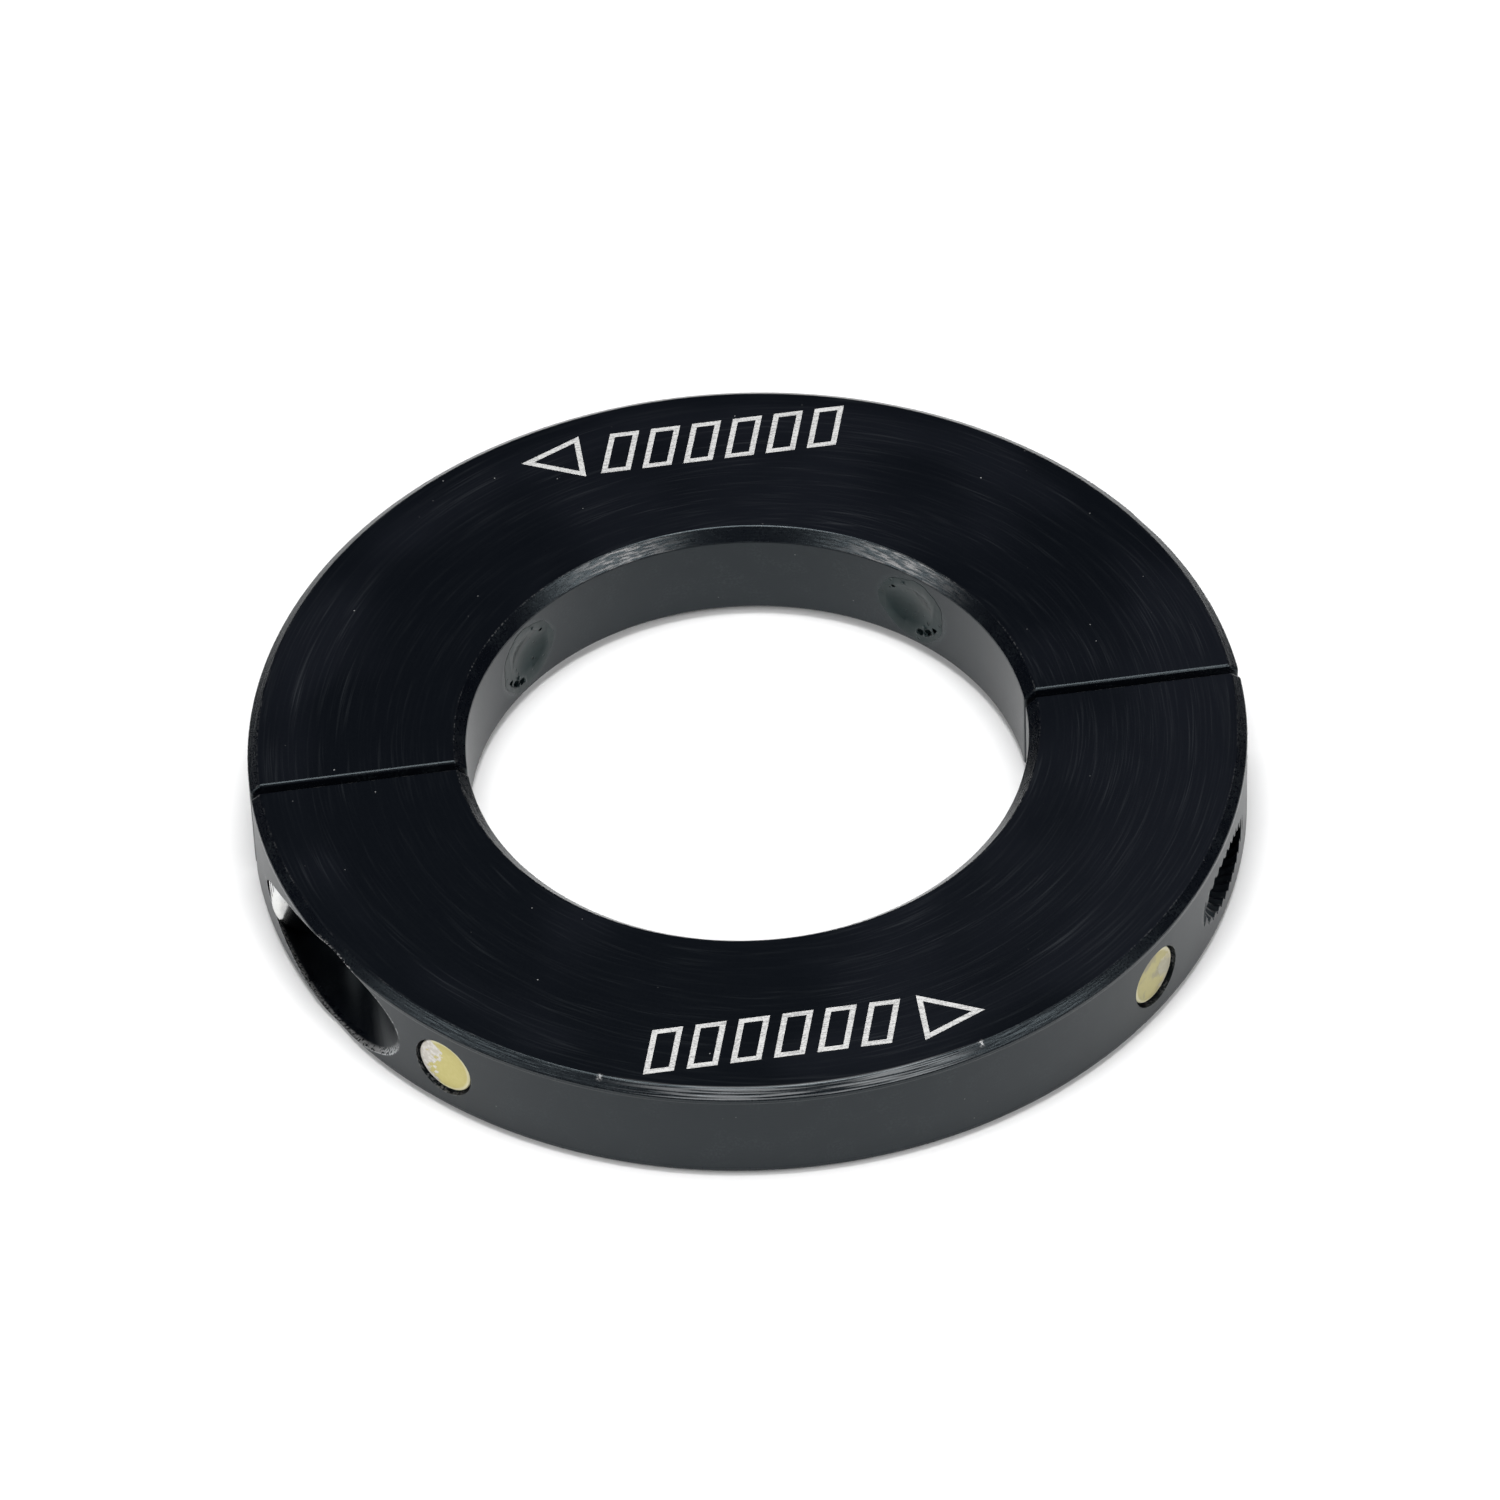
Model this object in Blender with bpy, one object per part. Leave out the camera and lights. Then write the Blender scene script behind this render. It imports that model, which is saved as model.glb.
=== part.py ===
"""Two-piece clamping shaft collar that carries four sensor magnets.

Two equal half rings, each the other turned half a turn about Z, clamp a shaft between them. Each half has a
counterbored screw hole at one end and a tapped hole at the other, so the two cap screws enter from opposite
sides. Four magnets sit in radial holes in the outer wall, and a potting plug closes each hole at the bore.

Frame: metres, +Z along the bore axis, origin on the bore axis at the bottom face. The split lies along X,
the front half at -Y and the back half at +Y.
"""

import math

import bmesh
import bpy
from mathutils import Matrix, Vector

MM = 0.001

# Ring
OUTER_DIAMETER = 76.2 * MM
BORE_DIAMETER = 42.86 * MM
THICKNESS = 8.73 * MM
OUTER_CHAMFER = 0.6 * MM
BORE_CHAMFER = 0.9 * MM
SPLIT_GAP = 0.7 * MM
SPLIT_EDGE_BREAK = 0.25 * MM

# Cap screws, number 10-32
THREAD_DIAMETER = 4.83 * MM
THREAD_PITCH = 0.794 * MM
THREAD_DEPTH = 0.43 * MM
SCREW_LENGTH = 12.7 * MM
TIP_CHAMFER = 0.5 * MM
HEAD_HEIGHT = 4.83 * MM
HEAD_CHAMFER = 0.4 * MM
KEY_SIZE = 3.97 * MM
KEY_DEPTH = 2.4 * MM

# Metal left round a screw head: to each flat face, to the outer wall at the split, and under the seat
FACE_WALL = 0.445 * MM
OUTER_WALL = 0.43 * MM
SEAT_WALL = 3.0 * MM

# Magnets and their potting
MAGNET_DIAMETER = 4.76 * MM
MAGNET_CHAMFER = 0.2 * MM
MAGNET_RECESS = 0.25 * MM
MAGNET_ANGLE = math.radians(45)
PLUG_LENGTH = 3.32 * MM
PLUG_RECESS = 0.1 * MM

# Clearances between pieces
HEAD_CLEARANCE = 0.12 * MM
SEAT_CLEARANCE = 0.1 * MM
SHANK_CLEARANCE = 0.25 * MM
THREAD_CLEARANCE = 0.08 * MM
GLUE_LINE = 0.2 * MM
PLUG_TO_MAGNET = 0.3 * MM

# Facets
RING_FACETS = 120
ROUND_FACETS = 32
THREAD_FACETS = 20
OVERSHOOT = 2 * MM

OUTER_RADIUS = OUTER_DIAMETER / 2
BORE_RADIUS = BORE_DIAMETER / 2
MID_HEIGHT = THICKNESS / 2
HEAD_DIAMETER = THICKNESS - 2 * (FACE_WALL + HEAD_CLEARANCE)
COUNTERBORE_RADIUS = HEAD_DIAMETER / 2 + HEAD_CLEARANCE
SCREW_OFFSET = OUTER_RADIUS - OUTER_WALL - COUNTERBORE_RADIUS
SEAT_DEPTH = SPLIT_GAP / 2 + SEAT_WALL
MAGNET_HOLE_RADIUS = MAGNET_DIAMETER / 2 + GLUE_LINE
MAGNET_FACE = OUTER_RADIUS - MAGNET_RECESS
PLUG_START = BORE_RADIUS + PLUG_RECESS
PLUG_END = PLUG_START + PLUG_LENGTH
MAGNET_LENGTH = MAGNET_FACE - PLUG_END - PLUG_TO_MAGNET


def clear_scene():
    for obj in list(bpy.data.objects):
        bpy.data.objects.remove(obj, do_unlink=True)


def finish(name, color, roughness, metallic):
    material = bpy.data.materials.new(name)
    material.use_nodes = True
    shader = material.node_tree.nodes["Principled BSDF"]
    shader.inputs["Base Color"].default_value = (*color, 1)
    shader.inputs["Roughness"].default_value = roughness
    shader.inputs["Metallic"].default_value = metallic
    return material


def add_object(name, bm, place, material=None):
    """An object with the shape in bm, smooth where it is round, at the given matrix."""
    bmesh.ops.recalc_face_normals(bm, faces=bm.faces)
    mesh = bpy.data.meshes.new(name)
    bm.to_mesh(mesh)
    bm.free()
    mesh.shade_smooth()
    mesh.set_sharp_from_angle(angle=math.radians(30))
    if material:
        mesh.materials.append(material)
    obj = bpy.data.objects.new(name, mesh)
    obj.matrix_world = place
    bpy.context.scene.collection.objects.link(obj)
    return obj


def add_cutter(name, bm, place):
    cutter = add_object(name, bm, place)
    cutter.hide_render = True
    cutter.display_type = "WIRE"
    return cutter


def apply_boolean(obj, cutter, operation="DIFFERENCE"):
    modifier = obj.modifiers.new(cutter.name, "BOOLEAN")
    modifier.operation = operation
    modifier.object = cutter


def turned(outline, facets):
    """A closed solid turned about Z from an outline of (radius, height) points.

    An outline that starts and ends on the axis makes a solid piece, any other makes a ring.
    """
    bm = bmesh.new()
    points = [bm.verts.new((radius, 0, height)) for radius, height in outline]
    edges = [bm.edges.new(pair) for pair in zip(points, points[1:])]
    if outline[0][0] > 0:
        edges.append(bm.edges.new((points[-1], points[0])))
    bmesh.ops.spin(
        bm,
        geom=points + edges,
        cent=(0, 0, 0),
        axis=(0, 0, 1),
        angle=math.tau,
        steps=facets,
        use_merge=True,
    )
    bmesh.ops.remove_doubles(bm, verts=bm.verts, dist=1e-7)
    return bm


def rod(radius, start, end, chamfer=0.0):
    """A round rod along Z from start to end, with its end's edge chamfered."""
    outline = [(0, start), (radius, start), (radius, end - chamfer)]
    if chamfer:
        outline.append((radius - chamfer, end))
    return turned([*outline, (0, end)], ROUND_FACETS)


def hexagonal_prism(across_flats, start, end):
    bm = bmesh.new()
    corner_radius = across_flats / 2 / math.cos(math.pi / 6)
    middle = Matrix.Translation((0, 0, (start + end) / 2))
    bmesh.ops.create_cone(
        bm,
        cap_ends=True,
        segments=6,
        radius1=corner_radius,
        radius2=corner_radius,
        depth=end - start,
        matrix=middle,
    )
    return bm


def cut_flat(bm, point, normal):
    """Cuts away what lies beyond the plane, and closes the cut."""
    geometry = bm.verts[:] + bm.edges[:] + bm.faces[:]
    bmesh.ops.bisect_plane(bm, geom=geometry, dist=1e-8, plane_co=point, plane_no=normal, clear_outer=True)
    bmesh.ops.holes_fill(bm, edges=[edge for edge in bm.edges if edge.is_boundary])


def threaded_rod(crest_radius, start, end):
    """A rod along Z from start to end with a right-hand thread whose crests are at crest_radius.

    Every thread in one frame is in mesh with the others, because a crest passes +X at every whole pitch.
    """
    bm = bmesh.new()
    first_turn = math.floor(start / THREAD_PITCH) - 2
    last_turn = math.ceil(end / THREAD_PITCH) + 2
    rows = 2 * (last_turn - first_turn)
    columns = []
    for column in range(THREAD_FACETS):
        part_turn = column / THREAD_FACETS
        angle = math.tau * part_turn
        points = []
        for row in range(rows):
            radius = crest_radius - (THREAD_DEPTH if row % 2 else 0)
            height = THREAD_PITCH * (first_turn + row / 2 + part_turn)
            points.append(bm.verts.new((radius * math.cos(angle), radius * math.sin(angle), height)))
        columns.append(points)
    # One turn later, the first column is two rows higher.
    columns.append(columns[0][2:])
    for left, right in zip(columns, columns[1:]):
        for row in range(min(len(left), len(right)) - 1):
            bm.faces.new((left[row], right[row], right[row + 1], left[row + 1]))
    cut_flat(bm, (0, 0, start), (0, 0, -1))
    cut_flat(bm, (0, 0, end), (0, 0, 1))
    return bm


def half_ring():
    """The front half of the ring, with its split faces' edges broken."""
    bm = turned(
        [
            (BORE_RADIUS, BORE_CHAMFER),
            (BORE_RADIUS + BORE_CHAMFER, 0),
            (OUTER_RADIUS - OUTER_CHAMFER, 0),
            (OUTER_RADIUS, OUTER_CHAMFER),
            (OUTER_RADIUS, THICKNESS - OUTER_CHAMFER),
            (OUTER_RADIUS - OUTER_CHAMFER, THICKNESS),
            (BORE_RADIUS + BORE_CHAMFER, THICKNESS),
            (BORE_RADIUS, THICKNESS - BORE_CHAMFER),
        ],
        RING_FACETS,
    )
    cut_flat(bm, (0, -SPLIT_GAP / 2, 0), (0, 1, 0))
    on_split = [edge for edge in bm.edges if all(abs(v.co.y + SPLIT_GAP / 2) < 1e-7 for v in edge.verts)]
    bmesh.ops.bevel(
        bm,
        geom=on_split,
        offset=SPLIT_EDGE_BREAK,
        offset_type="OFFSET",
        segments=1,
        profile=0.5,
        affect="EDGES",
        clamp_overlap=True,
    )
    return bm


def screw_place(turn):
    """Where a screw seats: its origin on the seat, its +Z towards its tip."""
    seat = Matrix.Translation((-SCREW_OFFSET, -SEAT_DEPTH, MID_HEIGHT))
    return turn @ seat @ Matrix.Rotation(-math.pi / 2, 4, "X")


def magnet_place(angle):
    """A frame at the middle of the thickness, its +Z along the radius at this angle about the bore axis."""
    along_radius = Vector((math.cos(angle), math.sin(angle), 0)).to_track_quat("Z", "Y").to_matrix().to_4x4()
    return Matrix.Translation((0, 0, MID_HEIGHT)) @ along_radius


def add_collar_half(name, turn, magnet_angles, material):
    """A collar half: its own screw's counterbore and shank hole, and the other screw's tapped hole."""
    own_screw = screw_place(turn)
    other_screw = screw_place(turn @ Matrix.Rotation(math.pi, 4, "Z"))
    half = add_object(name, half_ring(), turn, material)
    shank_hole_radius = THREAD_DIAMETER / 2 + SHANK_CLEARANCE
    screw_hole = turned(
        [
            (0, -OUTER_RADIUS),
            (COUNTERBORE_RADIUS, -OUTER_RADIUS),
            (COUNTERBORE_RADIUS, 0),
            (shank_hole_radius, 0),
            (shank_hole_radius, SEAT_DEPTH + OVERSHOOT),
            (0, SEAT_DEPTH + OVERSHOOT),
        ],
        ROUND_FACETS,
    )
    tapped_hole = threaded_rod(
        THREAD_DIAMETER / 2 + THREAD_CLEARANCE, SEAT_DEPTH - SPLIT_GAP, SEAT_DEPTH + OUTER_RADIUS
    )
    apply_boolean(half, add_cutter(name + "_screw_hole", screw_hole, own_screw))
    apply_boolean(half, add_cutter(name + "_tapped_hole", tapped_hole, other_screw))
    for number, angle in enumerate(magnet_angles):
        hole = rod(MAGNET_HOLE_RADIUS, BORE_RADIUS - OVERSHOOT, OUTER_RADIUS + OVERSHOOT)
        apply_boolean(half, add_cutter(f"{name}_magnet_hole_{number}", hole, magnet_place(angle)))


def add_cap_screw(name, turn, material):
    """A socket head cap screw, its origin under the head on its own axis."""
    place = screw_place(turn)
    under_head = -SEAT_CLEARANCE
    top = under_head - HEAD_HEIGHT
    head = turned(
        [
            (0, top),
            (HEAD_DIAMETER / 2 - HEAD_CHAMFER, top),
            (HEAD_DIAMETER / 2, top + HEAD_CHAMFER),
            (HEAD_DIAMETER / 2, under_head),
            (0, under_head),
        ],
        ROUND_FACETS,
    )
    screw = add_object(name, head, place, material)
    tip = under_head + SCREW_LENGTH
    thread = add_cutter(name + "_thread", threaded_rod(THREAD_DIAMETER / 2, top / 2, tip), place)
    # Wider than the thread, so that only its chamfer cuts it.
    tip_shape = rod(THREAD_DIAMETER / 2 + TIP_CHAMFER, top, tip, 2 * TIP_CHAMFER)
    apply_boolean(thread, add_cutter(name + "_tip_shape", tip_shape, place), "INTERSECT")
    apply_boolean(screw, thread, "UNION")
    socket = hexagonal_prism(KEY_SIZE, top - OVERSHOOT, top + KEY_DEPTH)
    apply_boolean(screw, add_cutter(name + "_socket", socket, place))


def add_magnet(name, angle, material):
    magnet = rod(MAGNET_DIAMETER / 2, MAGNET_FACE - MAGNET_LENGTH, MAGNET_FACE, MAGNET_CHAMFER)
    add_object(name, magnet, magnet_place(angle), material)


def add_plug(name, angle, material):
    plug = rod(MAGNET_DIAMETER / 2, PLUG_START, PLUG_END)
    add_object(name, plug, magnet_place(angle), material)


def build():
    clear_scene()
    anodised = finish("black_anodised", (0.012, 0.013, 0.016), 0.42, 0.55)
    plated = finish("bright_zinc", (0.72, 0.72, 0.7), 0.28, 1.0)
    painted = finish("yellow_magnet", (0.62, 0.56, 0.2), 0.45, 0.2)
    potting = finish("black_potting", (0.025, 0.032, 0.034), 0.35, 0.0)
    front = Matrix.Identity(4)
    back = Matrix.Rotation(math.pi, 4, "Z")
    places = {
        "front_left": MAGNET_ANGLE - math.pi,
        "front_right": -MAGNET_ANGLE,
        "back_right": MAGNET_ANGLE,
        "back_left": math.pi - MAGNET_ANGLE,
    }
    add_collar_half("collar_half_front", front, [places["front_left"], places["front_right"]], anodised)
    add_collar_half("collar_half_back", back, [places["back_right"], places["back_left"]], anodised)
    add_cap_screw("clamp_screw_left", front, plated)
    add_cap_screw("clamp_screw_right", back, plated)
    for place, angle in places.items():
        add_magnet("sensor_magnet_" + place, angle, painted)
        add_plug("potting_plug_" + place, angle, potting)


build()
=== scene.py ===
"""Looks of a two-piece clamping shaft collar that carries four sensor magnets.

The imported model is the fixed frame. Each operator below models one group of like pieces over it: the two
collar halves, the two cap screws, the magnets, the potting plugs and the etched marks. The last one adds the
floor, the lights and the camera. Everything is in metres, +Z along the bore axis, the split along X.
"""

import math

import bmesh
import bpy
from mathutils import Matrix, Vector


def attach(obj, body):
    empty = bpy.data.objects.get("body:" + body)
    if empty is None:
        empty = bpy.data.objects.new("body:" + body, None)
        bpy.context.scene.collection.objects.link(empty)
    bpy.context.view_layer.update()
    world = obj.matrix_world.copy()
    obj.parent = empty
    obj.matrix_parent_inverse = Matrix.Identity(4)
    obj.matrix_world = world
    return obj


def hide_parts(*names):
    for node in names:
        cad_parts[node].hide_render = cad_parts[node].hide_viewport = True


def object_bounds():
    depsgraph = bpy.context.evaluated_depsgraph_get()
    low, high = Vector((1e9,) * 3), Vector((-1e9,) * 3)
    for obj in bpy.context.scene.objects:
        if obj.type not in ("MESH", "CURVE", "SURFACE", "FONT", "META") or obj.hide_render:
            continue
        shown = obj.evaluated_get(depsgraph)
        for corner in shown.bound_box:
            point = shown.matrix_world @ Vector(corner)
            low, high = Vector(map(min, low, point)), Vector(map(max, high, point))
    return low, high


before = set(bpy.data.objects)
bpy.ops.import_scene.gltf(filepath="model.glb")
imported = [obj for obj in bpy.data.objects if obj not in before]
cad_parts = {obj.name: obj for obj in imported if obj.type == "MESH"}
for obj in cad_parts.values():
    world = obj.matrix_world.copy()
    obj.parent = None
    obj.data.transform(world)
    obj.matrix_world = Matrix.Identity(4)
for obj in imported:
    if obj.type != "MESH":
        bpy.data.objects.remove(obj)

bl_info = {
    "name": "Shaft Collar Looks",
    "version": (1, 0, 0),
    "blender": (4, 5, 0),
    "location": "3D View > Sidebar > Collar",
    "description": "Models and finishes the pieces of a two-piece shaft collar with sensor magnets",
    "category": "Add Mesh",
}

MM = 0.001
CAD_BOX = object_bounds()
HALF_TURN = Matrix.Rotation(math.pi, 4, "Z")
# Degrees about the bore axis, from +X
MAGNET_PLACES = {"front_left": -135, "front_right": -45, "back_right": 45, "back_left": 135}
# This magnet was glued in a little off the middle of its hole.
MAGNET_SHIFTS = {"front_right": (-0.07 * MM, 0, 0.08 * MM)}
RING_STEPS = 240
HEAD_STEPS = 144
SCREW_HOLE_STEPS = 96
ROUND_STEPS = 72
TIP_STEPS = 64
KNURL_TEETH = 48
WELD = 1e-7


# Sizes and colours that a user would change


def length(name, description, default, **limits):
    return bpy.props.FloatProperty(
        name=name, description=description, default=default, min=0, precision=5, unit="LENGTH", **limits
    )


def colour(name, description, default):
    return bpy.props.FloatVectorProperty(
        name=name, description=description, default=default, size=3, min=0, max=1, subtype="COLOR"
    )


class CollarRingSizes(bpy.types.PropertyGroup):
    """The ring that both halves are cut from"""

    outer_diameter: length("Outer diameter", "Across the outer wall", CAD_BOX[1][0] - CAD_BOX[0][0])
    bore_diameter: length("Bore diameter", "Across the bore that holds the shaft", 42.86 * MM)
    thickness: length("Thickness", "From the bottom face to the top face", CAD_BOX[1][2] - CAD_BOX[0][2])
    chamfer_width: length("Chamfer width", "How far the outer chamfer reaches in along a face", 0.75 * MM)
    chamfer_height: length("Chamfer height", "How far the outer chamfer reaches along the wall", 0.55 * MM)
    bore_chamfer: length("Bore chamfer", "Leg of the chamfer at each end of the bore", 0.9 * MM)
    edge_round: length("Edge round", "Small round that takes off the sharp edges", 0.06 * MM)
    split_gap: length("Split gap", "Saw cut between the two halves", 0.7 * MM)
    split_round: length("Split edge round", "Round on the edges along the saw cut", 0.22 * MM)


class CollarScrewSizes(bpy.types.PropertyGroup):
    """The cap screws and the holes that they sit in"""

    offset: length("Screw offset", "From the bore axis to a screw's axis", 33.75 * MM)
    seat_depth: length("Seat depth", "From the middle of the split to the seat under a head", 3.35 * MM)
    seat_clearance: length("Seat clearance", "Air between a head and its seat", 0.1 * MM)
    thread_diameter: length("Thread diameter", "Over the thread's crests", 4.83 * MM)
    thread_depth: length("Thread depth", "From crest to root", 0.43 * MM)
    thread_pitch: length("Thread pitch", "From crest to crest", 0.794 * MM)
    thread_clearance: length("Thread clearance", "Between the screw's thread and the tapped hole", 0.08 * MM)
    screw_length: length("Length", "Under the head", 12.7 * MM)
    head_diameter: length("Head diameter", "Over the knurl", 7.6 * MM)
    head_height: length("Head height", "Along the screw", 4.83 * MM)
    key_size: length("Key size", "Across the flats of the hexagonal socket", 3.97 * MM)
    key_depth: length("Key depth", "Depth of the socket's flats", 2.4 * MM)
    counterbore: length("Counterbore", "Diameter of the hole round the head", 7.84 * MM)
    shank_hole: length("Shank hole", "Diameter of the hole round the shank", 5.33 * MM)


class CollarMagnetSizes(bpy.types.PropertyGroup):
    """The magnets in the outer wall and the potting behind them"""

    diameter: length("Magnet diameter", "Across a magnet", 4.76 * MM)
    magnet_length: length("Magnet length", "Along the radius", 12.7 * MM)
    recess: length("Recess", "From the outer wall in to a magnet's face", 0.25 * MM)
    hole_diameter: length("Hole diameter", "Across the hole for a magnet", 5.16 * MM)
    plug_length: length("Plug length", "Potting from the bore in to the magnet", 3.3 * MM)
    smear_diameter: length("Smear diameter", "Across the potting that spread over the bore wall", 6.1 * MM)


class CollarColours(bpy.types.PropertyGroup):
    """Colours of the finishes"""

    anodised: colour("Anodised", "Black anodising on the halves", (0.0013, 0.0018, 0.0034))
    # Also the colour of the painted highlights along the halves' edges and rims
    worn_edge_and_highlight: colour("Worn edge", "Bright metal where an edge has lost its anodising", (0.42, 0.42, 0.42))
    plated: colour("Plated", "Zinc plating on the screws", (0.74, 0.74, 0.72))
    paint: colour("Paint", "Yellow paint on the magnets' faces", (0.5, 0.44, 0.14))
    bare_magnet: colour("Bare magnet", "Nickel plating under the paint", (0.5, 0.47, 0.42))
    potting: colour("Potting", "Epoxy behind the magnets", (0.004, 0.008, 0.009))
    etching: colour("Etching", "Laser marks on the top face", (0.6, 0.6, 0.59))
    floor: colour("Floor", "Paper under the collar", (0.95, 0.95, 0.95))


# Modelling


def start_object(add, name, **settings):
    """Adds a primitive with nothing else selected, and names it."""
    if bpy.context.mode != "OBJECT":
        bpy.ops.object.mode_set(mode="OBJECT")
    bpy.ops.object.select_all(action="DESELECT")
    add(**settings)
    obj = bpy.context.object
    obj.name = obj.data.name = name
    return obj


def edit(obj):
    bpy.context.view_layer.objects.active = obj
    bpy.ops.object.mode_set(mode="EDIT")
    bpy.ops.mesh.select_mode(type="VERT")
    bpy.ops.mesh.select_all(action="SELECT")


def leave_edit():
    bpy.ops.object.mode_set(mode="OBJECT")


def select_where(obj, kind, test):
    """In edit mode, selects just the verts, edges or faces that pass the test."""
    mesh = bmesh.from_edit_mesh(obj.data)
    bpy.ops.mesh.select_all(action="DESELECT")
    bpy.ops.mesh.select_mode(type={"verts": "VERT", "edges": "EDGE", "faces": "FACE"}[kind])
    for element in getattr(mesh, kind):
        if test(element):
            element.select_set(True)
    mesh.select_flush_mode()
    bmesh.update_edit_mesh(obj.data)


def only(obj):
    """Makes obj the one selected object."""
    bpy.ops.object.select_all(action="DESELECT")
    obj.select_set(True)
    bpy.context.view_layer.objects.active = obj


def place(obj, matrix):
    """Moves obj by the matrix and puts that place in its mesh."""
    obj.matrix_world = matrix
    only(obj)
    bpy.ops.object.transform_apply(location=True, rotation=True, scale=True)


def copied(obj, name, matrix):
    """A copy of obj with its own mesh, moved by the matrix."""
    only(obj)
    bpy.ops.object.duplicate(linked=False)
    twin = bpy.context.object
    twin.name = twin.data.name = name
    place(twin, matrix)
    if matrix.is_negative:
        edit(twin)
        bpy.ops.mesh.normals_make_consistent(inside=False)
        leave_edit()
    return twin


def apply_modifier(obj, name, kind, **settings):
    modifier = obj.modifiers.new(name, kind)
    for setting, value in settings.items():
        setattr(modifier, setting, value)
    only(obj)
    bpy.ops.object.modifier_apply(modifier=name)


def combine(obj, other, operation="DIFFERENCE"):
    """Cuts the other object from obj, or joins it on, and uses it up."""
    apply_modifier(obj, other.name, "BOOLEAN", operation=operation, solver="EXACT", object=other)
    bpy.data.objects.remove(other, do_unlink=True)


def drawn(name, points):
    """A line of edges through (radius, height) points in the XZ plane, extruded from the first one."""
    corners = [Vector((radius, 0, height)) for radius, height in points]
    obj = start_object(bpy.ops.mesh.primitive_plane_add, name, size=MM, location=corners[0])
    bpy.ops.object.transform_apply(location=True, rotation=False, scale=False)
    edit(obj)
    bpy.ops.mesh.merge(type="CENTER")
    for start, end in zip(corners, corners[1:]):
        bpy.ops.mesh.extrude_region_move(TRANSFORM_OT_translate={"value": end - start})
    leave_edit()
    return obj


def turned(name, points, steps):
    """A solid turned about Z. The outline starts and ends on the axis, or comes back to its first point."""
    obj = drawn(name, points)
    edit(obj)
    bpy.ops.mesh.spin(steps=steps, angle=math.tau, center=(0, 0, 0), axis=(0, 0, 1), use_auto_merge=True)
    bpy.ops.mesh.select_all(action="SELECT")
    bpy.ops.mesh.remove_doubles(threshold=WELD)
    bpy.ops.mesh.normals_make_consistent(inside=False)
    leave_edit()
    return obj


def rounded(points, size):
    """The outline with each of its inner corners replaced by a short chamfer."""
    corners = [Vector(point) for point in points]
    outline = [corners[0]]
    for before, corner, after in zip(corners, corners[1:], corners[2:]):
        outline.append(corner + (before - corner).normalized() * size)
        outline.append(corner + (after - corner).normalized() * size)
    return [tuple(point) for point in [*outline, corners[-1]]]


def cut_flat(obj, point, normal):
    """In edit mode, cuts away what lies beyond the plane and closes the cut."""
    bpy.ops.mesh.select_all(action="SELECT")
    bpy.ops.mesh.bisect(plane_co=point, plane_no=normal, use_fill=True, clear_outer=True, threshold=WELD)


def smooth(obj, degrees=30):
    only(obj)
    bpy.ops.object.shade_smooth_by_angle(angle=math.radians(degrees))


def threaded_rod(name, sizes, crest_radius, start, end, steps=40):
    """A rod along Z with a right-hand thread. A crest passes +X at every whole pitch, so threads mesh."""
    pitch = sizes.thread_pitch
    root_radius = crest_radius - sizes.thread_depth
    first = math.floor(start / pitch) - 1
    turns = math.ceil(end / pitch) + 2 - first
    crest = pitch / 16
    root = pitch / 8
    rod = drawn(
        name,
        [
            (crest_radius, first * pitch - crest),
            (crest_radius, first * pitch + crest),
            (root_radius, first * pitch + pitch / 2 - root),
            (root_radius, first * pitch + pitch / 2 + root),
            (crest_radius, (first + 1) * pitch - crest),
        ],
    )
    apply_modifier(
        rod,
        "Helix",
        "SCREW",
        axis="Z",
        angle=math.tau,
        screw_offset=pitch,
        iterations=turns,
        steps=steps,
        render_steps=steps,
    )
    edit(rod)
    bpy.ops.mesh.remove_doubles(threshold=10 * WELD)
    cut_flat(rod, (0, 0, start), (0, 0, -1))
    cut_flat(rod, (0, 0, end), (0, 0, 1))
    bpy.ops.mesh.select_all(action="SELECT")
    bpy.ops.mesh.normals_make_consistent(inside=False)
    leave_edit()
    return rod


def screw_place(sizes, ring, turn):
    """Where a screw seats: its origin on the seat, its +Z towards its tip."""
    seat = Matrix.Translation((-sizes.offset, -sizes.seat_depth, ring.thickness / 2))
    return turn @ seat @ Matrix.Rotation(-math.pi / 2, 4, "X")


def magnet_place(ring, degrees):
    """A frame at the middle of the thickness, its +Z along the radius at this angle about the bore axis."""
    angle = math.radians(degrees)
    along = Vector((math.cos(angle), math.sin(angle), 0)).to_track_quat("Z", "Y").to_matrix().to_4x4()
    return Matrix.Translation((0, 0, ring.thickness / 2)) @ along


# Finishes


class Socket:
    """A value in a material. Sums on it add Math nodes."""

    def __init__(self, finish, output):
        self.finish = finish
        self.output = output

    def math(self, operation, *values):
        return self.finish.add("ShaderNodeMath", {"operation": operation}, dict(enumerate(values)))

    def __add__(self, other):
        return self.math("ADD", self, other)

    def __radd__(self, other):
        return self.math("ADD", other, self)

    def __sub__(self, other):
        return self.math("SUBTRACT", self, other)

    def __rsub__(self, other):
        return self.math("SUBTRACT", other, self)

    def __mul__(self, other):
        return self.math("MULTIPLY", self, other)

    def __rmul__(self, other):
        return self.math("MULTIPLY", other, self)

    def __abs__(self):
        return self.math("ABSOLUTE", self)

    def distance(self, other):
        """The square root of the sum of both squares."""
        return self.math("SQRT", self * self + other * other)

    def angle(self, across):
        return self.math("ARCTAN2", self, across)

    def sign(self):
        return self.math("SIGN", self)

    def ramp(self, low, high):
        """0 at low, 1 at high and smooth between them. Low may be the larger one."""
        names = {"Value": self, "From Min": low, "From Max": high}
        return self.finish.add("ShaderNodeMapRange", {"interpolation_type": "SMOOTHSTEP"}, names)

    def near(self, value, width):
        """1 at the value, fading to 0 a width away."""
        return abs(self - value).ramp(width, 0)


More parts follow.
